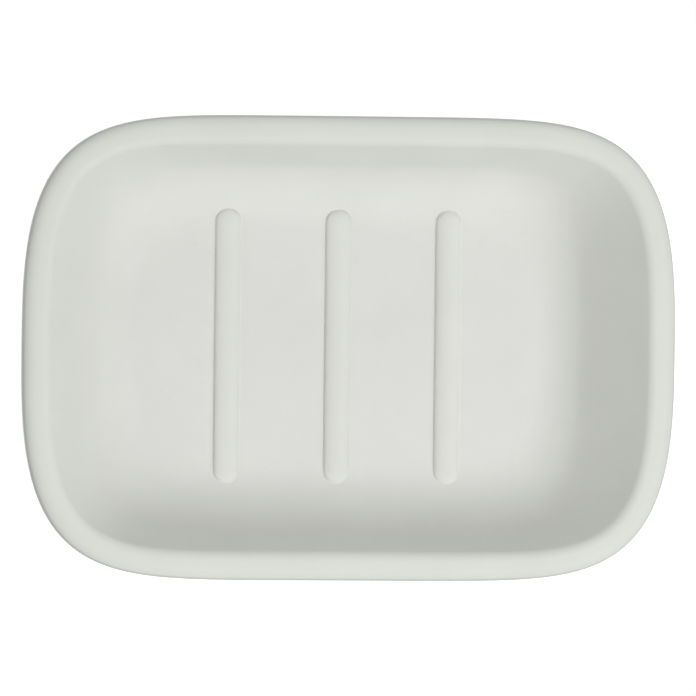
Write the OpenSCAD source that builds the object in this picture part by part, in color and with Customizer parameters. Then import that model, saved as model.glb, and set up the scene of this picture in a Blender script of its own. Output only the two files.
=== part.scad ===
// Soap dish: one shallow cast tray with a rounded rim, drainage ribs on its floor and a
// foot ring around a shallow recess underneath, and four stick-on pads in the recess.
// The origin is the middle of the plane that the pads stand on. X runs along the dish, Z up.

/* [Dish] */
// Overall length, over the rim
dish_length = 140; // [125:1:155]
// Overall width, over the rim
dish_width = 98.6; // [88:0.2:112]
// Thickness of the wall just below the rim
wall_thickness = 6.6; // [5:0.2:8]
// Depth of the hollow, from the crown of the rim down to the flat floor
hollow_depth = 21; // [17:0.5:26]
// Thickness of the floor above the recess underneath
floor_thickness = 4.8; // [4:0.2:7]

/* [Rim] */
// Radius of the rim's round on the inside
rim_inner_radius = 2.4; // [1.4:0.1:3]
// Height of the rim's shoulder on the outside, and radius of the round under it
rim_outer_radius = 3.3; // [2:0.1:3.8]
// Power of the shoulder's curve: 2 is an ellipse, and a higher one is flatter on top
rim_shoulder_power = 3; // [2:0.1:4]

/* [Hollow] */
// Slope of the inside of the two end walls, in degrees from the floor
end_slope = 54; // [46:1:66]
// Slope of the inside of the two long walls, in degrees from the floor
side_slope = 69; // [56:1:76]
// Radius of the sweep from the floor into the end walls
end_sweep_radius = 12.6; // [8:0.2:18]
// Radius of the sweep from the floor into the long walls
side_sweep_radius = 14.8; // [9:0.2:18]

/* [Underside] */
// Slope of the outside of the two end walls, in degrees from the foot
end_heel_slope = 57; // [50:1:66]
// Slope of the outside of the two long walls, in degrees from the foot
side_heel_slope = 67; // [56:1:72]
// Radius of the heel, where the outside turns in to the foot ring
heel_radius = 4; // [2:0.5:6]
// Width of the foot ring
foot_width = 4.5; // [3:0.5:7]
// Depth of the recess inside the foot ring
recess_depth = 1.4; // [1:0.1:1.8]
// How far the recess's wall leans in over its depth, so that it leaves the mould
recess_draft = 0.6; // [0.2:0.1:1]

/* [Outline] */
// Power of the length in the rim's outline: a higher one makes squarer ends
rim_end_power = 5.86; // [4:0.02:8]
// Power of the width in the rim's outline: a higher one makes squarer long sides
rim_side_power = 3.02; // [2.4:0.02:4]
// Power of the length in the floor's outline
floor_end_power = 8.4; // [4:0.1:10]
// Power of the width in the floor's outline
floor_side_power = 3.2; // [2.4:0.1:4]
// Power of the length in the foot's outline
foot_end_power = 6; // [4:0.1:8]
// Power of the width in the foot's outline
foot_side_power = 3.1; // [2.4:0.1:4]

/* [Ribs] */
// Number of ribs across the floor
rib_count = 3; // [1:1:3]
// Distance between the middles of two ribs
rib_pitch = 23.8; // [16:0.2:28]
// Width of a rib at its foot
rib_width = 5.4; // [4:0.1:8]
// Height of a rib above the floor
rib_height = 1.6; // [0.8:0.1:2]
// Height of the upright flank at a rib's foot, below its rounded top
rib_flank = 0.4; // [0.1:0.1:0.6]
// How far each rib's ends run up the sweep, past the flat floor
rib_end_run = 4.1; // [1:0.1:6.5]

/* [Pads] */
// Diameter of a pad
pad_diameter = 9.5; // [7:0.5:11]
// Thickness of a pad
pad_thickness = 2; // [1.9:0.1:3]
// Chamfer around a pad's lower edge
pad_chamfer = 0.4; // [0.2:0.1:0.6]
// Thickness of the adhesive between a pad and the recess
adhesive_thickness = 0.2; // [0.1:0.05:0.4]
// How far the adhesive stays inside the pad's edge
adhesive_margin = 0.3; // [0.1:0.1:0.6]
// Distance from a pad's middle to the end of the recess
pad_end_inset = 12.4; // [11.4:0.2:18]
// Distance from a pad's middle to the long side of the recess
pad_side_inset = 10.8; // [10:0.2:14]

/* [Smoothness] */
// Number of corners around each outline, a multiple of four
around = 96; // [48:8:120]
// Number of rings in each sweep and on each side of the rim
rings = 9; // [5:1:10]

/* [Hidden] */
dish_colour = [0.86, 0.87, 0.84];
pad_colour = [0.82, 0.83, 0.82];
adhesive_colour = [0.93, 0.93, 0.9];
// Heights, from the plane that the pads stand on
recess_z = pad_thickness + adhesive_thickness;
foot_z = recess_z - recess_depth;
floor_z = recess_z + floor_thickness;
crown_z = floor_z + hollow_depth;
// The rim's inside is an arc and its outside a flatter shoulder, and they meet at its top.
// The outside is widest at the shoulder's foot.
shoulder_width = wall_thickness - rim_inner_radius;
shoulder_z = crown_z - rim_outer_radius;
// By how much the powers of an outline grow over one wall thickness, so that the rim and the
// foot ring keep one width all the way around
end_power_gain = 1.3;
side_power_gain = 0.28;
// Half sizes of the flat floor, of the flat foot and of the recess in it
floor_half_length = inner_half(floor_z, dish_length / 2, end_slope, end_sweep_radius);
floor_half_width = inner_half(floor_z, dish_width / 2, side_slope, side_sweep_radius);
foot_half_length = outer_half(foot_z, dish_length / 2, end_heel_slope);
foot_half_width = outer_half(foot_z, dish_width / 2, side_heel_slope);
recess_half_length = foot_half_length - foot_width;
recess_half_width = foot_half_width - foot_width;
recess_end_power = foot_end_power + end_power_gain * foot_width / wall_thickness;
recess_side_power = foot_side_power + side_power_gain * foot_width / wall_thickness;
// The sweeps and the heel end at these heights, and the rim's round at these
sweep_top_z = floor_z + max(sweep_rise(end_slope, end_sweep_radius), sweep_rise(side_slope, side_sweep_radius));
heel_top_z = foot_z + max(sweep_rise(end_heel_slope, heel_radius), sweep_rise(side_heel_slope, heel_radius));
inner_turn = 90 - max(end_slope, side_slope);
outer_turn = 90 - min(end_heel_slope, side_heel_slope);
inner_round_z = crown_z - rim_inner_radius * (1 - sin(inner_turn));
outer_round_z = shoulder_z - rim_outer_radius * sin(outer_turn);
// A rib's section is half an ellipse on upright flanks, which are sunk into the floor
rib_root = floor_thickness / 2;
rib_bar_half = floor_half_width + rib_end_run - rib_width / 2;
rib_steps = 8;
rib_facets = 48;
pad_facets = 64;
// A pad's middle
pad_x = recess_half_length - pad_end_inset;
pad_y = recess_half_width - pad_side_inset;
// How strongly an outline's corners are drawn together at its bends
crowding_share = 0.4;
wall_rings = 3;
under_rings = 3;

// Height of a round sweep that turns up to a slope, and how far a profile with such a sweep
// and then the straight slope has run out at height h
function sweep_rise(slope, radius) = radius * (1 - cos(slope));
function sweep_run(h, slope, radius) =
    h <= sweep_rise(slope, radius)
        ? sqrt(max(0, h * (2 * radius - h)))
        : radius * sin(slope) + (h - sweep_rise(slope, radius)) / tan(slope);

// How far a round has run out at a height above or below its middle
function round_run(h, radius) = sqrt(max(0, pow(radius, 2) - pow(h, 2)));

// Half size of the hollow at height z on one axis
function inner_half(z, full_half, slope, radius) =
    let (
        crown_half = full_half - shoulder_width,
        middle_z = crown_z - rim_inner_radius,
        tangent_z = middle_z + rim_inner_radius * cos(slope)
    )
    z >= tangent_z
        ? crown_half - round_run(z - middle_z, rim_inner_radius)
        : crown_half - rim_inner_radius * sin(slope)
            - sweep_run(tangent_z - floor_z, slope, radius)
            + sweep_run(z - floor_z, slope, radius);

// Half size of the outside at height z on one axis: the shoulder, the round under it, the
// straight slope and the heel
function shoulder_share(share) = pow(max(0, 1 - pow(share, rim_shoulder_power)), 1 / rim_shoulder_power);
function outer_half(z, full_half, slope) =
    let (
        round_half = full_half - rim_outer_radius,
        tangent_z = shoulder_z - rim_outer_radius * cos(slope)
    )
    z >= shoulder_z
        ? full_half - shoulder_width * (1 - shoulder_share((z - shoulder_z) / rim_outer_radius))
        : z >= tangent_z
            ? round_half + round_run(z - shoulder_z, rim_outer_radius)
            : round_half + rim_outer_radius * sin(slope)
                - sweep_run(tangent_z - foot_z, slope, heel_radius)
                + sweep_run(z - foot_z, slope, heel_radius);

// Power of an outline at a depth inside the rim: it grows across the rim, and then goes over
// to the power of the floor or the foot at its full depth
function power_at(depth, full_depth, rim_power, gain, end_power) =
    depth <= wall_thickness
        ? rim_power + gain * depth / wall_thickness
        : rim_power + gain
            + (end_power - rim_power - gain) * (depth - wall_thickness) / (full_depth - wall_thickness);

// One outline: a rounded oblong of two half sizes and two powers, at height z. Each corner
// starts on a diamond of half size one and is pushed out on to the curve.
function crowd(t) = t + crowding_share * sin(360 * t) / (2 * PI);
function diamond(quarter, t) = [[1 - t, t], [-t, 1 - t], [t - 1, -t], [t, t - 1]][quarter];
function outline(half_length, half_width, end_power, side_power, z) = [
    for (i = [0:around - 1])
        let (
            quarter = floor(4 * i / around),
            d = diamond(quarter, crowd(4 * i / around - quarter)),
            size = pow(abs(d[0]), end_power) + pow(abs(d[1]), side_power)
        )
        [half_length * d[0] / pow(size, 1 / end_power), half_width * d[1] / pow(size, 1 / side_power), z]
];
function inner_outline(z) =
    let (
        half_length = inner_half(z, dish_length / 2, end_slope, end_sweep_radius),
        half_width = inner_half(z, dish_width / 2, side_slope, side_sweep_radius)
    )
    outline(
        half_length,
        half_width,
        power_at(dish_length / 2 - half_length, dish_length / 2 - floor_half_length,
            rim_end_power, end_power_gain, floor_end_power),
        power_at(dish_width / 2 - half_width, dish_width / 2 - floor_half_width,
            rim_side_power, side_power_gain, floor_side_power),
        z
    );
function outer_outline(z) =
    let (
        half_length = outer_half(z, dish_length / 2, end_heel_slope),
        half_width = outer_half(z, dish_width / 2, side_heel_slope)
    )
    outline(
        half_length,
        half_width,
        power_at(dish_length / 2 - half_length, dish_length / 2 - foot_half_length,
            rim_end_power, end_power_gain, foot_end_power),
        power_at(dish_width / 2 - half_width, dish_width / 2 - foot_half_width,
            rim_side_power, side_power_gain, foot_side_power),
        z
    );

// The heights of the outlines: up the inside and over the crown, then down the outside
inner_heights = concat(
    [for (j = [0:rings]) floor_z + (sweep_top_z - floor_z) * pow(j / rings, 2)],
    [for (j = [1:wall_rings]) sweep_top_z + (inner_round_z - sweep_top_z) * j / wall_rings],
    [for (j = [1:rings])
        crown_z - rim_inner_radius * (1 - sin(inner_turn + (90 - inner_turn) * j / rings))]
);
outer_heights = concat(
    [for (j = [1:rings]) shoulder_z + rim_outer_radius * pow(cos(90 * j / rings), 2 / rim_shoulder_power)],
    [for (j = [1:under_rings]) shoulder_z - rim_outer_radius * sin(outer_turn * j / under_rings)],
    [for (j = [1:wall_rings]) heel_top_z + (outer_round_z - heel_top_z) * (1 - j / wall_rings)],
    [for (j = [rings - 1:-1:0]) foot_z + (heel_top_z - foot_z) * pow(j / rings, 2)]
);

// The body's skin: a closed net of outlines from the flat floor, over the rim, down the
// outside, across the foot ring and up into the recess
module skin() {
    outlines = concat(
        [for (z = inner_heights) inner_outline(z)],
        [for (z = outer_heights) outer_outline(z)],
        [
            outline(recess_half_length, recess_half_width, recess_end_power, recess_side_power, foot_z),
            outline(
                recess_half_length - recess_draft,
                recess_half_width - recess_draft,
                recess_end_power,
                recess_side_power,
                recess_z
            )
        ]
    );
    last = len(outlines) - 1;
    sides = [
        for (j = [0:last - 1], i = [0:around - 1])
            let (
                next = (i + 1) % around,
                a = j * around + i,
                b = j * around + next,
                c = (j + 1) * around + next,
                d = (j + 1) * around + i
            )
            each [[a, d, c], [a, c, b]]
    ];
    floor_face = [for (i = [around - 1:-1:0]) i];
    recess_face = [for (i = [0:around - 1]) last * around + i];
    polyhedron([for (points = outlines) each points], concat(sides, [floor_face, recess_face]));
}

// The right half of the curve over a rib, from its flank to its top
rib_curve = [
    for (j = [0:rib_steps])
        [rib_width / 2 * cos(90 * j / rib_steps), rib_flank + (rib_height - rib_flank) * sin(90 * j / rib_steps)]
];

// One rib: a straight bar, and a turned piece that rounds each end of it
module rib() {
    half_section = concat([[0, -rib_root], [rib_width / 2, -rib_root]], rib_curve);
    section = concat(
        [[-rib_width / 2, -rib_root], [rib_width / 2, -rib_root]],
        rib_curve,
        [for (j = [rib_steps - 1:-1:0]) [-rib_curve[j][0], rib_curve[j][1]]]
    );
    translate([0, 0, floor_z])
        union() {
            rotate([90, 0, 0])
                linear_extrude(height = 2 * rib_bar_half, center = true)
                    polygon(section);
            for (end = [-1, 1])
                translate([0, end * rib_bar_half, 0])
                    rotate_extrude($fn = rib_facets)
                        polygon(half_section);
        }
}

module dish_body() {
    color(dish_colour)
        union() {
            skin();
            for (i = [0:rib_count - 1])
                translate([(i - (rib_count - 1) / 2) * rib_pitch, 0, 0])
                    rib();
        }
}

// A stick-on pad, standing at the origin of the part's plane at one corner
module foot_pad(side_x, side_y) {
    color(pad_colour)
        translate([side_x * pad_x, side_y * pad_y, 0])
            union() {
                cylinder(
                    h = pad_chamfer,
                    r1 = pad_diameter / 2 - pad_chamfer,
                    r2 = pad_diameter / 2,
                    $fn = pad_facets
                );
                translate([0, 0, pad_chamfer])
                    cylinder(h = pad_thickness - pad_chamfer, d = pad_diameter, $fn = pad_facets);
            }
}

// The film of adhesive that holds a pad to the recess
module pad_adhesive(side_x, side_y) {
    color(adhesive_colour)
        translate([side_x * pad_x, side_y * pad_y, pad_thickness])
            cylinder(h = adhesive_thickness, d = pad_diameter - 2 * adhesive_margin, $fn = pad_facets);
}

dish_body();
foot_pad(-1, -1);  // foot_pad_front_left
foot_pad(1, -1);  // foot_pad_front_right
foot_pad(-1, 1);  // foot_pad_back_left
foot_pad(1, 1);  // foot_pad_back_right
pad_adhesive(-1, -1);  // pad_adhesive_front_left
pad_adhesive(1, -1);  // pad_adhesive_front_right
pad_adhesive(-1, 1);  // pad_adhesive_back_left
pad_adhesive(1, 1);  // pad_adhesive_back_right
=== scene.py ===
# %% [markdown]
# # A matt ceramic soap dish, photographed from above
#
# The real object is one shallow tray of cast stoneware. Its rim is rounded over, its walls sweep
# into a flat floor, and three raised ribs keep a wet bar of soap out of the water.
# Four stick-on pads under it grip the basin.
#
# This lesson dresses a ready engineering model. The frame holds the solids at their real size, and
# we make the surfaces that a camera looks at: a smooth tray in place of the faceted solid, rounded
# pads, and a matt finish with the fine grain of fired clay.
#
# We first load the frame and note the box that it fills, because the dressed model has to fit the
# same box.

# %% Load the frame
import math

import bmesh
import bpy
import numpy as np
from mathutils import Matrix, Vector


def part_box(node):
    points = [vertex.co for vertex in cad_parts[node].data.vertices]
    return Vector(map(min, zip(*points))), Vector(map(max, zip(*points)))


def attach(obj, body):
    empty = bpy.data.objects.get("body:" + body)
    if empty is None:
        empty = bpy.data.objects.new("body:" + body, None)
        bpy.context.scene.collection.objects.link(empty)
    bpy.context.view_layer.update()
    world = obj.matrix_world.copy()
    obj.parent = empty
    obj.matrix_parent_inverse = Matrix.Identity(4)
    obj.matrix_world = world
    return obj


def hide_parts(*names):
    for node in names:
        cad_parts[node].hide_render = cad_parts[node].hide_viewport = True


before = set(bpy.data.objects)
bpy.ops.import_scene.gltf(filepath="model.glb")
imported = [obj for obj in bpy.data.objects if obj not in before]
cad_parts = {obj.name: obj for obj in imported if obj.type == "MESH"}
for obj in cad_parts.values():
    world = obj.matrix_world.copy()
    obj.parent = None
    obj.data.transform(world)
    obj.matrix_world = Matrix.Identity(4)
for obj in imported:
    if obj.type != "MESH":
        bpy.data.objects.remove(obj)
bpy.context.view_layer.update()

print("nodes:", len(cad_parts))

# %% [markdown]
# ## Sizes
#
# Blender works in metres, and a potter in millimetres, so one name, `mm`, turns one into the other.
# The tray's overall size is read from the frame. The sizes that can't be read from a box, such as
# the slopes and the radii of the sweeps, are the ones that the tray was designed with. Everything
# else is worked out from them, so that the surface which we draw lies on the solid that it
# replaces.

# %% The tray's sizes
mm = 0.001
tray_low, tray_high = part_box("dish_body")
dish_length = tray_high[0] - tray_low[0]
dish_width = tray_high[1] - tray_low[1]
foot_z = tray_low[2]
crown_z = tray_high[2]

wall_thickness = 6.6 * mm
rim_inner_radius = 2.4 * mm
rim_outer_radius = 3.3 * mm
rim_shoulder_power = 3
hollow_depth = 21 * mm
end_slope = math.radians(54)
side_slope = math.radians(69)
end_sweep_radius = 12.6 * mm
side_sweep_radius = 14.8 * mm
end_heel_slope = math.radians(57)
side_heel_slope = math.radians(67)
heel_radius = 4 * mm

floor_z = crown_z - hollow_depth
shoulder_width = wall_thickness - rim_inner_radius
shoulder_z = crown_z - rim_outer_radius


def in_mm(*sizes):
    """Sizes in millimetres, to print."""
    return [round(float(size) / mm, 2) for size in sizes]


print("tray:", in_mm(dish_length, dish_width, crown_z - foot_z), "mm")

# %% [markdown]
# ## The profile of the wall
#
# Cut the tray through its middle and you see its profile: a flat floor, a round sweep, a straight
# slope, and then the rim. The rim isn't a half circle. Its inside is a small round, and its
# outside a wider shoulder that stays nearly level and then turns down fast, with another round
# under it. In the photograph the rim is evenly light almost to its edge, which is how such a
# shoulder shows. Further down, a small heel turns in to the foot.
#
# A curve object could hold that profile, but the ends of this tray slope more gently than its
# long sides, so one profile isn't enough. Instead each function answers one question, for the
# length and for the width alike: how far out does the surface lie at height z?

# %% Half sizes at a height
def sweep_rise(slope, radius):
    """Height that a round sweep climbs before it has turned up to the slope."""
    return radius * (1 - math.cos(slope))


def sweep_run(height, slope, radius):
    """How far a sweep and the straight slope after it have run out at a height."""
    height = np.maximum(height, 0)
    round_part = np.sqrt(np.maximum(height * (2 * radius - height), 0))
    above_round = height - sweep_rise(slope, radius)
    straight_part = radius * math.sin(slope) + above_round / math.tan(slope)
    return np.where(height <= sweep_rise(slope, radius), round_part, straight_part)


def round_run(height, radius):
    """How far a round has run out at a height above or below its middle."""
    return np.sqrt(np.maximum(radius**2 - height**2, 0))


def inner_half(z, full_half, slope, radius):
    """Half size of the hollow at height z."""
    crown_half = full_half - shoulder_width
    middle_z = crown_z - rim_inner_radius
    tangent_z = middle_z + rim_inner_radius * math.cos(slope)
    tangent_half = crown_half - rim_inner_radius * math.sin(slope)
    bottom_half = tangent_half - sweep_run(tangent_z - floor_z, slope, radius)
    wall = bottom_half + sweep_run(z - floor_z, slope, radius)
    return np.where(z >= tangent_z, crown_half - round_run(z - middle_z, rim_inner_radius), wall)


def outer_half(z, full_half, slope):
    """Half size of the outside at height z: shoulder, round, slope and heel."""
    share = np.clip((z - shoulder_z) / rim_outer_radius, 0, 1)
    level = (1 - share**rim_shoulder_power) ** (1 / rim_shoulder_power)
    shoulder = full_half - shoulder_width * (1 - level)
    round_half = full_half - rim_outer_radius
    tangent_z = shoulder_z - rim_outer_radius * math.cos(slope)
    tangent_half = round_half + rim_outer_radius * math.sin(slope)
    bottom_half = tangent_half - sweep_run(tangent_z - foot_z, slope, heel_radius)
    wall = bottom_half + sweep_run(z - foot_z, slope, heel_radius)
    under = np.where(z >= tangent_z, round_half + round_run(z - shoulder_z, rim_outer_radius), wall)
    return np.where(z >= shoulder_z, shoulder, under)


floor_half_length = float(inner_half(floor_z, dish_length / 2, end_slope, end_sweep_radius))
floor_half_width = float(inner_half(floor_z, dish_width / 2, side_slope, side_sweep_radius))
foot_half_length = float(outer_half(foot_z, dish_length / 2, end_heel_slope))
foot_half_width = float(outer_half(foot_z, dish_width / 2, side_heel_slope))
print("flat floor:", in_mm(2 * floor_half_length, 2 * floor_half_width), "mm")
print("foot:", in_mm(2 * foot_half_length, 2 * foot_half_width), "mm")

# %% [markdown]
# ## The outline
#
# Seen from above, neither a rectangle nor an ellipse fits the tray: its sides bulge a little and
# its corners are wide. A superellipse has both. It is the curve where |x / a| to one power plus
# |y / b| to another makes one, and the two powers say how square the ends and the long sides are.
# The outline could be traced by hand with Bezier handles, but every contour of the tray, from the
# floor to the rim, is such a curve, and a formula gives them all. The powers grow a little across
# the rim, which keeps the rim the same width around its corners, and then go over to the powers of
# the floor or of the foot.

# %% Powers of an outline, and points on it
rim_powers = (5.86, 3.02)
rim_gains = (1.3, 0.28)
floor_powers = (8.4, 3.2)
foot_powers = (6, 3.1)


def power_at(depth, full_depth, rim_power, gain, end_power):
    """Power of the outline at a depth inside the rim."""
    across_rim = rim_power + gain * depth / wall_thickness
    share = (depth - wall_thickness) / (full_depth - wall_thickness)
    down_wall = rim_power + gain + (end_power - rim_power - gain) * share
    return np.where(depth <= wall_thickness, across_rim, down_wall)


def contour(half_length, half_width, full_half_length, full_half_width, end_powers):
    """The half sizes and powers of the contour that has these half sizes."""
    end_power = power_at(
        dish_length / 2 - half_length,
        dish_length / 2 - full_half_length,
        rim_powers[0],
        rim_gains[0],
        end_powers[0],
    )
    side_power = power_at(
        dish_width / 2 - half_width,
        dish_width / 2 - full_half_width,
        rim_powers[1],
        rim_gains[1],
        end_powers[1],
    )
    return half_length, half_width, end_power, side_power


def inner_contour(z):
    """The hollow's contour at height z."""
    half_length = inner_half(z, dish_length / 2, end_slope, end_sweep_radius)
    half_width = inner_half(z, dish_width / 2, side_slope, side_sweep_radius)
    return contour(half_length, half_width, floor_half_length, floor_half_width, floor_powers)


def outer_contour(z):
    """The outside's contour at height z."""
    half_length = outer_half(z, dish_length / 2, end_heel_slope)
    half_width = outer_half(z, dish_width / 2, side_heel_slope)
    return contour(half_length, half_width, foot_half_length, foot_half_width, foot_powers)


def ring_points(spokes, half_length, half_width, end_power, side_power, z):
    """Push the points of a unit diamond out on to a contour at height z."""
    size = np.abs(spokes[:, 0]) ** end_power + np.abs(spokes[:, 1]) ** side_power
    x = half_length * spokes[:, 0] / size ** (1 / end_power)
    y = half_width * spokes[:, 1] / size ** (1 / side_power)
    return np.column_stack((x, y, np.full(len(spokes), z)))


print("powers of the rim:", rim_powers, "of the floor:", floor_powers, "of the foot:", foot_powers)

# %% [markdown]
# ## The surface of the hollow, with its ribs
#
# The ribs cross the floor and run a little way up the sweep. A boolean would join them to the tray
# with a hard seam and long thin faces. We use a height field instead: for a point seen from above
# we find the hollow's height, by halving the range that it can lie in, then the height of the
# nearest rib, and take the higher of the two. A tiny round where they cross is the fillet that
# clay always has in a corner. A rib is half an ellipse in section, so its flanks are steep at
# their foot: that is the thin dark line along each rib in the photograph.

# %% Heights of the floor and of the ribs
rib_count = 3
rib_pitch = 23.8 * mm
rib_width = 5.4 * mm
rib_rise = 1.6 * mm
rib_flank = 0.4 * mm
rib_end_run = 4.1 * mm
crease_size = 0.12 * mm
halving_steps = 34

rib_bar_half = floor_half_width + rib_end_run - rib_width / 2
rib_middles = [(i - (rib_count - 1) / 2) * rib_pitch for i in range(rib_count)]


def hollow_height(points):
    """Height of the hollow's bare surface over points seen from above."""
    low = np.full(len(points), floor_z)
    high = np.full(len(points), crown_z)
    for _ in range(halving_steps):
        middle = (low + high) / 2
        half_length, half_width, end_power, side_power = inner_contour(middle)
        along = np.abs(points[:, 0] / half_length)
        across = np.abs(points[:, 1] / half_width)
        outside = along**end_power + across**side_power > 1
        low = np.where(outside, middle, low)
        high = np.where(outside, high, middle)
    return (low + high) / 2


def rib_height(points):
    """Height of the ribs, and a height under the floor where there is no rib."""
    beyond_end = np.maximum(np.abs(points[:, 1]) - rib_bar_half, 0)
    top = np.full(len(points), foot_z)
    for middle in rib_middles:
        from_axis = np.hypot(points[:, 0] - middle, beyond_end) / (rib_width / 2)
        rise = rib_flank + (rib_rise - rib_flank) * np.sqrt(np.maximum(1 - from_axis**2, 0))
        top = np.maximum(top, np.where(from_axis <= 1, floor_z + rise, foot_z))
    return top


def hollow_surface(points):
    """The higher of the two, rounded where they cross."""
    bare = hollow_height(points)
    rib = rib_height(points)
    closeness = np.clip(crease_size - np.abs(bare - rib), 0, None) / crease_size
    return np.maximum(bare, rib) + closeness**2 * crease_size / 4


rib_length = 2 * (rib_bar_half + rib_width / 2)
print("ribs:", rib_count, "of", in_mm(rib_length, rib_width, rib_rise), "mm")

# %% [markdown]
# ## The net of the tray
#
# A good net has its fine lines where the form turns. A square patch covers the ribs, with close
# columns over each rib and close rows at the ribs' ends. Its border then opens out into rings that
# climb the sweeps, go over the rim, down the outside and in under the foot. Each ring has as many
# points as the patch has on its border, so that the whole tray is one closed skin.

# %% Rows and columns of the patch
flank_inside = 0.7 * mm
flank_outside = 0.3 * mm
patch_margin = 1.5 * mm
flank_step = 0.1 * mm
end_step = 0.12 * mm
fine_step = 0.25 * mm
coarse_step = 0.9 * mm


def steps(start, end, count):
    """Equal steps from start to end, without the start."""
    return [start + (end - start) * k / count for k in range(1, count + 1)]


def spaced(stops, longest_steps):
    """Places from stop to stop, each stretch cut into equal steps no longer than asked."""
    places = [stops[0]]
    for start, end, longest in zip(stops, stops[1:], longest_steps):
        places += steps(start, end, max(1, math.ceil((end - start) / longest)))
    return np.array(places)


rib_reach = rib_width / 2 + flank_outside
rib_core = rib_width / 2 - flank_inside
patch_half_length = rib_middles[-1] + rib_reach + patch_margin
patch_half_width = rib_bar_half + rib_reach + patch_margin
rib_sides = (-rib_reach, -rib_core, rib_core, rib_reach)
column_stops = [middle + side for middle in rib_middles for side in rib_sides]
columns = spaced(
    [-patch_half_length] + column_stops + [patch_half_length],
    [coarse_step, flank_step, fine_step, flank_step] * rib_count + [coarse_step],
)
row_stops = [rib_bar_half, rib_bar_half + rib_reach, patch_half_width]
rows = spaced(
    [-stop for stop in reversed(row_stops)] + row_stops,
    [fine_step, end_step, coarse_step, end_step, fine_step],
)
print("patch:", len(columns), "by", len(rows), "points")

# %% [markdown]
# Where the patch ends, the sweep is still low. From there on each ring lies at one height, so a
# list of heights is all that the walls, the rim and the heel need. Equal steps of height would
# leave facets where the surface turns fast, so there the list takes equal steps of the turn.

# %% The heights at which the rings lie
first_rise = 3.4 * mm
fan_rings = 26
sweep_rings = 14
wall_rings = 8
rim_rings = 14
heel_rings = 8

end_rise = sweep_rise(end_slope, end_sweep_radius)
side_rise = sweep_rise(side_slope, side_sweep_radius)
sweep_top = floor_z + max(end_rise, side_rise)
heel_top = foot_z + sweep_rise(max(end_heel_slope, side_heel_slope), heel_radius)
inner_turn = math.pi / 2 - max(end_slope, side_slope)
outer_turn = math.pi / 2 - min(end_heel_slope, side_heel_slope)
first_share = math.sqrt(first_rise / (sweep_top - floor_z))

inner_heights = [floor_z + first_rise]
sweep_shares = steps(first_share, 1, sweep_rings)
inner_heights += [floor_z + (sweep_top - floor_z) * share**2 for share in sweep_shares]
inner_round_z = crown_z - rim_inner_radius * (1 - math.sin(inner_turn))
inner_heights += steps(sweep_top, inner_round_z, wall_rings)
inner_turns = steps(inner_turn, math.pi / 2, rim_rings)
inner_heights += [crown_z - rim_inner_radius * (1 - math.sin(turn)) for turn in inner_turns]
shoulder_turns = steps(0, math.pi / 2, rim_rings)
shoulder_shares = [max(math.cos(turn), 0) ** (2 / rim_shoulder_power) for turn in shoulder_turns]
outer_heights = [shoulder_z + rim_outer_radius * share for share in shoulder_shares]
outer_turns = steps(0, outer_turn, rim_rings // 2)
outer_heights += [shoulder_z - rim_outer_radius * math.sin(turn) for turn in outer_turns]
outer_heights += steps(outer_heights[-1], heel_top, wall_rings)
outer_heights += [foot_z + (heel_top - foot_z) * share**2 for share in steps(1, 0, heel_rings)]
print("rings:", len(inner_heights), "inside and", len(outer_heights), "outside")

# %% [markdown]
# Like nearly all pottery, the tray has a narrow foot ring, on which it stood in the kiln. Inside
# the ring the clay is cut away to a shallow recess, where the pads are stuck. Its section has two
# small rounds, at the ring's edge and in the corner, and the rings of the net follow their points.

# %% The recess under the foot
foot_width = 4.5 * mm
recess_depth = 1.4 * mm
recess_draft = 0.6 * mm
foot_edge_radius = 0.4 * mm
recess_corner_radius = 0.8 * mm
corner_steps = 4
recess_shares = (0.8, 0.6, 0.4, 0.2)
recess_z = foot_z + recess_depth


def round_points(across, z, radius, start, end, count):
    """Points of a small round in a section, as how far across and how high each one lies."""
    turns = [start] + steps(start, end, count)
    return [(across + radius * math.cos(turn), z + radius * math.sin(turn)) for turn in turns]


recess_profile = round_points(
    foot_width - foot_edge_radius,
    foot_z + foot_edge_radius,
    foot_edge_radius,
    -math.pi / 2,
    0,
    corner_steps,
)
recess_profile += round_points(
    foot_width + recess_draft + recess_corner_radius,
    recess_z - recess_corner_radius,
    recess_corner_radius,
    math.pi,
    math.pi / 2,
    corner_steps,
)
recess_powers = [
    power + gain * foot_width / wall_thickness
    for power, gain in zip(foot_powers, rim_gains)
]
print("recess:", in_mm(recess_depth), "mm deep inside a ring of", in_mm(foot_width), "mm")

# %% [markdown]
# ## From rings to a mesh
#
# `bmesh` builds the skin face by face. The patch is a grid of quads, and two neighbouring rings
# are joined by a band of quads. The recess is closed by a fan around one middle point. All faces
# are shaded smooth, because every edge of this tray is a small round and none is sharp.

# %% Rings, bands and fans with bmesh
def add_ring(mesh, points):
    """Vertices for the points of one ring."""
    return [mesh.verts.new(point) for point in points]


def join_rings(mesh, first, second):
    """A band of quads between two rings of vertices that have equally many."""
    count = len(first)
    for k in range(count):
        after = (k + 1) % count
        mesh.faces.new((first[k], first[after], second[after], second[k]))


def close_ring(mesh, ring, middle):
    """A fan of triangles from a ring to one middle point."""
    hub = mesh.verts.new(middle)
    for k in range(len(ring)):
        mesh.faces.new((ring[k], ring[(k + 1) % len(ring)], hub))


# %% From a bmesh to an object
def finish_object(name, mesh):
    """Turn a bmesh into a smooth object in the scene, with its faces turned outwards."""
    bmesh.ops.recalc_face_normals(mesh, faces=mesh.faces)
    data = bpy.data.meshes.new(name)
    mesh.to_mesh(data)
    mesh.free()
    data.polygons.foreach_set("use_smooth", [True] * len(data.polygons))
    piece = bpy.data.objects.new(name, data)
    bpy.context.scene.collection.objects.link(piece)
    print(name, "has", len(data.polygons), "faces")
    return piece


# %% [markdown]
# The rings have to leave the patch's border without a twist. So we send a ray from the middle
# through each point of the border, and ask where it meets the first ring. The contour's formula
# can't be turned round to answer that, so we halve the range in which the answer can lie.

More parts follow.
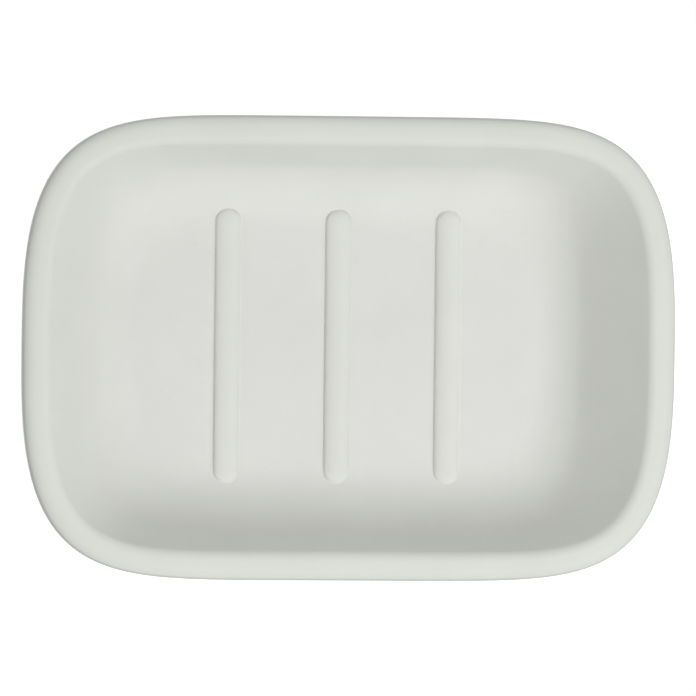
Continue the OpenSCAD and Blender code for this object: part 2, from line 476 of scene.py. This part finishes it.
# %% Spokes from the patch to the first ring
def solve_share(is_beyond, low, high, count):
    """Halve a range for many unknowns at once, until it is too small to matter."""
    low = np.full(count, low)
    high = np.full(count, high)
    for _ in range(halving_steps):
        middle = (low + high) / 2
        beyond = is_beyond(middle)
        high = np.where(beyond, middle, high)
        low = np.where(beyond, low, middle)
    return (low + high) / 2


least_stretch = 0.5
most_stretch = 10


def spokes_through(border, half_length, half_width, end_power, side_power):
    """Points of a unit diamond that a contour's formula pushes out through the border."""
    along = np.abs(border[:, 0]) / half_length
    across = np.abs(border[:, 1]) / half_width

    def past_contour(stretch):
        return (stretch * along) ** end_power + (stretch * across) ** side_power > 1

    stretch = solve_share(past_contour, least_stretch, most_stretch, len(border))

    def past_diamond(size):
        return stretch * (along * size ** (1 / end_power) + across * size ** (1 / side_power)) > 1

    size = solve_share(past_diamond, 0, 1, len(border))
    x = np.sign(border[:, 0]) * stretch * along * size ** (1 / end_power)
    y = np.sign(border[:, 1]) * stretch * across * size ** (1 / side_power)
    return np.column_stack((x, y))


# %% The border of the patch
def patch_border(grid):
    """The patch's vertices around its border, anticlockwise from the lower left corner."""
    last_column = len(columns) - 1
    last_row = len(rows) - 1
    border = [grid[0][i] for i in range(last_column)]
    border += [grid[j][last_column] for j in range(last_row)]
    border += [grid[last_row][i] for i in range(last_column, 0, -1)]
    border += [grid[j][0] for j in range(last_row, 0, -1)]
    return border


# %% [markdown]
# ## The tray
#
# Now the skin can be laid, from the middle of the floor outwards: the patch, a fan of rings that
# still lie on the height field, the rings of the walls and the rim, and the recess. One function
# holds it all, because each band of faces starts at the last ring of the one before.

# %% Lay the skin of the tray
def build_tray():
    """The whole tray as one closed skin."""
    mesh = bmesh.new()
    seen_from_above = np.array([(x, y) for y in rows for x in columns])
    heights = hollow_surface(seen_from_above)
    flat = add_ring(mesh, np.column_stack((seen_from_above, heights)))
    grid = [flat[j * len(columns) : (j + 1) * len(columns)] for j in range(len(rows))]
    for lower, upper in zip(grid, grid[1:]):
        for i in range(len(columns) - 1):
            mesh.faces.new((lower[i], lower[i + 1], upper[i + 1], upper[i]))

    ring = patch_border(grid)
    border = np.array([vertex.co[:] for vertex in ring])
    first_contour = inner_contour(inner_heights[0])
    spokes = spokes_through(border, *first_contour)
    target = ring_points(spokes, *first_contour, inner_heights[0])
    for share in steps(0, 1, fan_rings)[:-1]:
        points = border[:, :2] * (1 - share) + target[:, :2] * share
        after = add_ring(mesh, np.column_stack((points, hollow_surface(points))))
        join_rings(mesh, ring, after)
        ring = after

    rings = [ring_points(spokes, *inner_contour(z), z) for z in inner_heights]
    rings += [ring_points(spokes, *outer_contour(z), z) for z in outer_heights]
    for inset, z in recess_profile:
        half_sizes = (foot_half_length - inset, foot_half_width - inset)
        rings.append(ring_points(spokes, *half_sizes, *recess_powers, z))
    last_ring = rings[-1]
    rings += [last_ring * (share, share, 1) for share in recess_shares]
    for points in rings:
        after = add_ring(mesh, points)
        join_rings(mesh, ring, after)
        ring = after
    close_ring(mesh, ring, (0, 0, recess_z))
    return finish_object("stoneware_tray", mesh)


# %% Put the tray in place of its solid
tray = build_tray()
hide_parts("dish_body")
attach(tray, "root")

# %% [markdown]
# ## The pads
#
# A stick-on pad is a small disc punched or moulded from a clear grey elastomer. Its edge is round
# to the touch, and two fine grooves in its sole break the film of water that it would slide on.
# A cylinder with a bevel would do, but a turned profile shows how any round piece is made: draw
# half of its section, and sweep it around the axis.

# %% Turn a profile around an axis
pad_turns = 72


def turn(name, profile, middle):
    """Sweep a profile of (radius, height) around an upright axis through the middle point."""
    mesh = bmesh.new()
    angles = [2 * math.pi * k / pad_turns for k in range(pad_turns)]
    circle = [(math.cos(angle), math.sin(angle)) for angle in angles]
    rings = []
    for radius, z in profile:
        points = [(middle[0] + radius * x, middle[1] + radius * y, z) for x, y in circle]
        rings.append(add_ring(mesh, points))
    for ring, after in zip(rings, rings[1:]):
        join_rings(mesh, ring, after)
    close_ring(mesh, rings[0], (middle[0], middle[1], profile[0][1]))
    close_ring(mesh, rings[-1], (middle[0], middle[1], profile[-1][1]))
    return finish_object(name, mesh)


# %% The sections of a pad and of its film
groove_radii = (1.7 * mm, 3.1 * mm)
groove_half = 0.22 * mm
groove_depth = 0.14 * mm
sole_edge = 0.42 * mm
top_edge = 0.12 * mm
film_edge = 0.04 * mm
hub_radius = 0.4 * mm
sole_edge_steps = 6
top_edge_steps = 3
film_edge_steps = 2


def pad_profile(radius, low, high):
    """A pad's section from the middle of its sole, around its edge, to the middle of its top."""
    profile = [(hub_radius, low)]
    for groove in groove_radii:
        profile += [(groove - groove_half, low), (groove - groove_half / 2, low + groove_depth)]
        profile += [(groove + groove_half / 2, low + groove_depth), (groove + groove_half, low)]
    sole_round = (radius - sole_edge, low + sole_edge, sole_edge)
    profile += round_points(*sole_round, -math.pi / 2, 0, sole_edge_steps)
    top_round = (radius - top_edge, high - top_edge, top_edge)
    profile += round_points(*top_round, 0, math.pi / 2, top_edge_steps)
    profile += [(radius / 2, high), (hub_radius, high)]
    return profile


def film_profile(radius, low, high):
    """A film's section, with its cut edge a little round."""
    profile = [(hub_radius, low)]
    lower_round = (radius - film_edge, low + film_edge, film_edge)
    profile += round_points(*lower_round, -math.pi / 2, 0, film_edge_steps)
    upper_round = (radius - film_edge, high - film_edge, film_edge)
    profile += round_points(*upper_round, 0, math.pi / 2, film_edge_steps)
    profile += [(hub_radius, high)]
    return profile


# %% [markdown]
# Each pad is held by a film of adhesive only 0.2 mm thick. Both are turned in place. The frame
# says where their solids are and how large, so no place is typed in here, and when the engineer
# moves a pad, the piece that is drawn for it moves along.

# %% Make the four pads and their films of adhesive
def turned_piece(node, new_name, make_profile):
    """A turned piece that stands where the node is, in the node's own box."""
    low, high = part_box(node)
    middle = ((low[0] + high[0]) / 2, (low[1] + high[1]) / 2)
    piece = turn(new_name, make_profile((high[0] - low[0]) / 2, low[2], high[2]), middle)
    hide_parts(node)
    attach(piece, "root")
    return piece


corners = ("front_left", "front_right", "back_left", "back_right")
pads = [
    turned_piece(f"foot_pad_{corner}", f"pad_{corner}", pad_profile)
    for corner in corners
]
films = [
    turned_piece(f"pad_adhesive_{corner}", f"film_{corner}", film_profile)
    for corner in corners
]

# %% [markdown]
# ## Shader maths in Python
#
# A material is a graph of nodes. Built by hand it is easy to see and slow to change, and built by
# one call for each node it is long to read. So a small class wraps a socket that carries a number,
# and overloads Python's operators: `1 - mask` adds a Math node.

# %% A socket with operators
class Value:
    """A number that changes over a surface."""

    def __init__(self, finish, output):
        self.finish = finish
        self.output = output

    def combine(self, operation, first, second):
        return self.finish.add("ShaderNodeMath", {"operation": operation}, {0: first, 1: second})

    def __add__(self, other):
        return self.combine("ADD", self, other)

    def __radd__(self, other):
        return self.combine("ADD", other, self)

    def __sub__(self, other):
        return self.combine("SUBTRACT", self, other)

    def __rsub__(self, other):
        return self.combine("SUBTRACT", other, self)

    def __mul__(self, other):
        return self.combine("MULTIPLY", self, other)

    def __rmul__(self, other):
        return self.combine("MULTIPLY", other, self)


# %% [markdown]
# ## A finish and its nodes
#
# A second class holds one material. Its method `add` makes any node: first the node's settings,
# then the values or links of its sockets. The methods after it are the few nodes that glaze,
# elastomer and adhesive are made of, such as noise with lumps of a size in metres, or a ramp from
# one value to another. The last two fill in the shader and put the finish on its pieces.

# %% A finish that makes nodes
class Finish:
    """A material, and the short hand that its nodes are written in."""

    def __init__(self, name):
        self.material = bpy.data.materials.new(name)
        self.material.use_nodes = True
        self.tree = self.material.node_tree
        self.shader = self.tree.nodes["Principled BSDF"]

    def add(self, kind, settings=None, inputs=None, output=0):
        """Add a node: first its settings, then the values or links of its sockets."""
        node = self.tree.nodes.new(kind)
        for name, value in (settings or {}).items():
            setattr(node, name, value)
        for name, value in (inputs or {}).items():
            self.feed(node.inputs[name], value)
        return Value(self, node.outputs[output])

    def feed(self, socket, value):
        """Link a value to a socket, or set the socket's own number."""
        if isinstance(value, Value):
            self.tree.links.new(value.output, socket)
        else:
            socket.default_value = value

    def where(self):
        """The point on the object, in metres."""
        return self.add("ShaderNodeTexCoord", output="Object")

    def facing(self):
        """The way that the surface faces there."""
        return self.add("ShaderNodeTexCoord", output="Normal")

    def measure(self, operation, *vectors):
        """A number from one or two vectors, such as a length or a dot product."""
        inputs = dict(enumerate(vectors))
        return self.add("ShaderNodeVectorMath", {"operation": operation}, inputs, output="Value")

    def noise(self, size, detail=2.0, roughness=0.5):
        """Soft noise whose lumps are about this many metres across, from 0 to 1."""
        inputs = dict(Vector=self.where(), Scale=1 / size, Detail=detail, Roughness=roughness)
        return self.add("ShaderNodeTexNoise", inputs=inputs)

    def ramp(self, value, start, end):
        """0 below start and 1 above end."""
        inputs = {0: value, 1: start, 2: end, 3: 0.0, 4: 1.0}
        return self.add("ShaderNodeMapRange", {"clamp": True}, inputs)

    def mix(self, share, first, second):
        """One colour going over to another."""
        inputs = {0: share, 6: first, 7: second}
        return self.add("ShaderNodeMix", {"data_type": "RGBA"}, inputs, output=2)

    def bump(self, height, distance):
        """A relief whose height from 0 to 1 stands for this distance in metres."""
        inputs = dict(Height=height, Distance=distance, Strength=1.0)
        return self.add("ShaderNodeBump", inputs=inputs)

    def set(self, **values):
        """Values of the shader's own sockets, written with _ for a space."""
        for name, value in values.items():
            self.feed(self.shader.inputs[name.replace("_", " ")], value)

    def put_on(self, *pieces):
        """Give the finish to pieces."""
        for piece in pieces:
            piece.data.materials.clear()
            piece.data.materials.append(self.material)
        print(self.material.name, "has", len(self.tree.nodes), "nodes on", len(pieces), "pieces")


def rgb(red, green, blue):
    """A colour with full cover."""
    return (red, green, blue, 1.0)


# %% [markdown]
# ## Matt stoneware
#
# The tray is dipped in a thin matt glaze, a pale greenish grey. Seen close it isn't even: it lies
# a shade thicker in soft clouds a centimetre or two wide, and it is grained like an eggshell, with
# a rare pinhole where a bubble broke. A photograph could be projected on to the tray, but it would
# carry the studio's light with it. Noise in the object's own space has no seams, and it stays with
# the clay from every side.

# %% The glaze's clouds, grain and pinholes
cloud_size = 14 * mm
cloud_range = (0.3, 0.7)
cloud_share = 0.75
grain_size = 0.35 * mm
ripple_size = 9 * mm
pinhole_size = 1.1 * mm
pinhole_range = (0.78, 0.84)

stoneware = Finish("matt stoneware")
cloud = stoneware.noise(cloud_size, detail=3.0, roughness=0.55)
grain = stoneware.noise(grain_size, detail=3.0, roughness=0.6)
ripple = stoneware.noise(ripple_size, detail=1.0, roughness=0.4)
pinhole = stoneware.ramp(stoneware.noise(pinhole_size, detail=0.0), *pinhole_range)
depth_share = cloud_share * stoneware.ramp(cloud, *cloud_range) + (1 - cloud_share) * grain
print("clouds, ripple, pinholes:", in_mm(cloud_size, ripple_size, pinhole_size), "mm across")

# %% [markdown]
# While it is wet the glaze runs off whatever stands up. So it is thin and a touch greener on the
# rim and on the ribs' backs, and it pools on the floor, where it fires to a more neutral grey. The
# height of a point is enough to tell how thin the glaze is there.

# %% Thin glaze and pooled glaze
pooled_pale = rgb(0.764, 0.764, 0.736)
pooled_deep = rgb(0.736, 0.738, 0.709)
thin_pale = rgb(0.750, 0.777, 0.714)
thin_deep = rgb(0.721, 0.748, 0.687)
rib_thinness = 0.35

height = stoneware.add("ShaderNodeSeparateXYZ", inputs={0: stoneware.where()}, output="Z")
on_rib = stoneware.ramp(height, floor_z + rib_rise / 2, floor_z + rib_rise)
up_wall = stoneware.ramp(height, floor_z + rib_rise, crown_z)
thinness = on_rib * rib_thinness + up_wall * (1 - rib_thinness)
pooled_glaze = stoneware.mix(depth_share, pooled_deep, pooled_pale)
thin_glaze = stoneware.mix(depth_share, thin_deep, thin_pale)
whole_glaze = stoneware.mix(thinness, pooled_glaze, thin_glaze)
print("the glaze thins between", in_mm(floor_z + rib_rise, crown_z), "mm up")

# %% [markdown]
# Over the outer turn of the rim a fine darker line is painted into the colour. It is painted shade,
# which stands for the dark edge that runs all around the tray's outline. The hollow's wall has the
# same height on its inside, so a second mask asks whether the surface faces away from the tray's
# middle. The foot ring is wiped clean before firing, so it stays bare, and is warmer and rougher
# than the glaze. None of these masks depends on where we look from.

# %% The painted shade on the rim's outer turn, and the bare foot
edge_shade_colour = rgb(0.545, 0.563, 0.520)
bare_clay = rgb(0.640, 0.615, 0.560)
bare_cover = 0.8
shade_line_starts = (shoulder_z + 0.4 * mm, shoulder_z + 1.2 * mm)
shade_line_ends = (shoulder_z + 1.7 * mm, shoulder_z + 2.4 * mm)
outside_reach = 20 * mm
wiped_range = (foot_z + 0.25 * mm, foot_z + 0.5 * mm)

outward = stoneware.measure("DOT_PRODUCT", stoneware.facing(), stoneware.where())
# Painted shade: a band of darker colour on the rim's outer turn, facing away from the middle.
in_shade_line = stoneware.ramp(height, *shade_line_starts) * (1 - stoneware.ramp(height, *shade_line_ends))
painted_edge_shade = in_shade_line * stoneware.ramp(outward, 0.0, outside_reach)
bare = 1 - stoneware.ramp(height, *wiped_range)
# Painted shade: the outer turn of the rim takes the darker colour, for the shade along the outline.
glaze = stoneware.mix(painted_edge_shade, whole_glaze, edge_shade_colour)
glaze_and_edge_shade_colour = stoneware.mix(bare * bare_cover, glaze, bare_clay)
print("painted edge shade between", in_mm(shade_line_starts[0], shade_line_ends[1]), "mm up")
print("bare clay under", in_mm(wiped_range[1]), "mm")

# %% The stoneware's relief and gloss
grain_height = 0.012 * mm
ripple_height = 0.05 * mm
pinhole_depth = 0.024 * mm
gloss_roughness = 0.56
grain_roughness = 0.1
bare_roughness = 0.15

relief = grain * grain_height + ripple * ripple_height - pinhole * pinhole_depth
stoneware.set(
    Base_Color=glaze_and_edge_shade_colour,
    Roughness=gloss_roughness + grain_roughness * grain + bare_roughness * bare,
    Normal=stoneware.bump(relief, 1.0),
    IOR=1.5,
    Specular_IOR_Level=0.35,
)
stoneware.put_on(tray)

# %% [markdown]
# ## Elastomer and adhesive
#
# The pads are a translucent grey elastomer. Light goes in a little way and comes out again, which
# a small amount of subsurface scattering gives. Their skin has the faint orange peel of a mould.
# The adhesive behind them is a clear film with a yellow cast, and it holds tiny bubbles.

# %% The pads' finish
peel_size = 0.5 * mm
haze_size = 3 * mm
skin_relief = 0.02 * mm
skin_roughness = 0.38
peel_roughness = 0.14
clear_grey = rgb(0.50, 0.52, 0.51)
hazy_grey = rgb(0.60, 0.61, 0.60)

elastomer = Finish("grey elastomer")
peel = elastomer.noise(peel_size)
haze = elastomer.noise(haze_size)
elastomer.set(
    Base_Color=elastomer.mix(haze, clear_grey, hazy_grey),
    Roughness=skin_roughness + peel_roughness * peel,
    Normal=elastomer.bump(peel, skin_relief),
    IOR=1.43,
    Subsurface_Weight=0.3,
    Subsurface_Scale=2 * mm,
)
elastomer.put_on(*pads)

# %% The adhesive's finish
bubble_size = 0.6 * mm
bubble_range = (0.6, 0.7)
film_roughness = 0.25
bubble_roughness = 0.2
film_yellow = rgb(0.72, 0.70, 0.58)
bubble_white = rgb(0.82, 0.81, 0.74)

adhesive = Finish("clear adhesive")
bubbles = adhesive.ramp(adhesive.noise(bubble_size, detail=1.0), *bubble_range)
adhesive.set(
    Base_Color=adhesive.mix(bubbles, film_yellow, bubble_white),
    Roughness=film_roughness + bubble_roughness * bubbles,
    Normal=adhesive.bump(bubbles, skin_relief),
    IOR=1.47,
)
adhesive.put_on(*films)

# %% [markdown]
# ## The studio
#
# The ground is pure white, without a shadow. The floor gives that with painted light: it glows by
# itself where the camera sees it, with no lamp under it, and the glow fades softly to a dimmer pale
# grey further out. The glow isn't larger or stronger than it has to be, because light from below
# would take away the thin dark line that runs around the rim's edge. The floor is a stage and not
# part of the object.

# %% The floor, with a glow in it
floor_half = 0.9
glow_starts_to_fade = 84 * mm
glow_ends = 156 * mm
glow_colour = rgb(0.85, 0.85, 0.85)
outer_glow_colour = rgb(0.30, 0.30, 0.30)
floor_colour = rgb(0.35, 0.35, 0.35)

bpy.ops.mesh.primitive_plane_add(size=2 * floor_half)
studio_floor = bpy.context.object
studio_floor.name = "studio_floor"
glowing_floor = Finish("glowing floor")
from_middle = glowing_floor.measure("LENGTH", glowing_floor.where())
outside = glowing_floor.ramp(from_middle, glow_starts_to_fade, glow_ends)
# Painted light: the floor's emission is its glow, strong near the middle and weak further out.
glowing_floor.set(
    Base_Color=floor_colour,
    Roughness=0.9,
    Specular_IOR_Level=0.0,
    Emission_Color=glowing_floor.mix(outside, glow_colour, outer_glow_colour),
    Emission_Strength=1.0,
)
glowing_floor.put_on(studio_floor)
print("the glow fades between", in_mm(glow_starts_to_fade, glow_ends), "mm from the middle")

# %% [markdown]
# ## The light
#
# A product photographer lights a pale matt thing from all around, so that its form shows in soft
# steps of grey and nothing casts a hard edge. Here the strongest softbox hangs high in front and a
# little to the right. It fills the hollow, and leaves the long wall under it and the right end in
# their own soft shade. Weaker ones on the left and low at the back open up the shadows. They are
# all of one size and distance, so only their places and watts have to be chosen.

# %% The lights
box_size = 0.6
box_distance = 1.3
room_light = 0.2
aim = Vector((0, 0, floor_z))


def direction_to(azimuth, elevation):
    """The way to a place around the tray, in degrees. The azimuth turns from +X towards +Y."""
    turn_angle = math.radians(azimuth)
    lift_angle = math.radians(elevation)
    level = math.cos(lift_angle)
    x = level * math.cos(turn_angle)
    y = level * math.sin(turn_angle)
    return Vector((x, y, math.sin(lift_angle)))


def softbox(name, azimuth, elevation, watts):
    """A square light that faces the tray."""
    data = bpy.data.lights.new(name, "AREA")
    data.size = box_size
    data.energy = watts
    lamp = bpy.data.objects.new(name, data)
    lamp.location = aim + direction_to(azimuth, elevation) * box_distance
    lamp.rotation_euler = (aim - lamp.location).to_track_quat("-Z", "Y").to_euler()
    bpy.context.scene.collection.objects.link(lamp)
    return lamp


lamps = [
    softbox("high_front", 300, 62, 7.83),
    softbox("high_right", 0, 62, 2.73),
    softbox("left", 180, 36, 2.17),
    softbox("front_right", 315, 36, 1.66),
    softbox("back", 90, 36, 0.87),
    softbox("low_back_right", 60, 12, 1.86),
    softbox("low_back_left", 120, 12, 1.16),
    softbox("low_front_left", 240, 12, 0.81),
]

world = bpy.data.worlds.new("studio")
bpy.context.scene.world = world
world.use_nodes = True
room = world.node_tree.nodes["Background"]
room.inputs["Color"].default_value = rgb(1, 1, 1)
room.inputs["Strength"].default_value = room_light
bpy.context.scene.view_settings.view_transform = "Standard"
total_watts = sum(lamp.data.energy for lamp in lamps)
print("lamps:", len(lamps), "with", round(total_watts, 1), "W in all")

# %% [markdown]
# ## The camera
#
# The camera hangs over the tray on a long lens. It isn't quite plumb: the ribs, which lie deep in
# the tray, show a little left of and above its middle, so the lens looks in from the left and from
# the back by a few degrees. That lean follows from the ribs' shift and their depth under the rim.
# The lens is worked out for a square frame of 696 pixels, in which one pixel is 0.212 mm at the
# rim.

# %% The camera
frame_pixels = 696
pixel_size = 0.21223 * mm
camera_distance = 2.0
lean_left = math.radians(8.4)
lean_back = math.radians(1.3)
roll = math.radians(0.46)
sensor_width = 36 * mm
far_limit = 20

camera_data = bpy.data.cameras.new("camera")
camera = bpy.data.objects.new("camera", camera_data)
bpy.context.scene.collection.objects.link(camera)
bpy.context.scene.camera = camera
camera_data.sensor_width = sensor_width / mm
camera_data.lens = sensor_width / mm * camera_distance / (frame_pixels * pixel_size)
camera_data.clip_end = far_limit
look_at = Vector((-0.3 * mm, 0.1 * mm, shoulder_z))
backwards = Vector((-math.tan(lean_left), math.tan(lean_back), 1)).normalized()
camera.location = look_at + backwards * camera_distance
camera.rotation_mode = "QUATERNION"
level_right = (Vector((1, 0, 0)) - backwards * backwards.x).normalized()
level_up = backwards.cross(level_right)
right = level_right * math.cos(roll) + level_up * math.sin(roll)
up = backwards.cross(right)
camera.rotation_quaternion = Matrix((right, up, backwards)).transposed().to_quaternion()
print("lens:", round(camera_data.lens), "mm")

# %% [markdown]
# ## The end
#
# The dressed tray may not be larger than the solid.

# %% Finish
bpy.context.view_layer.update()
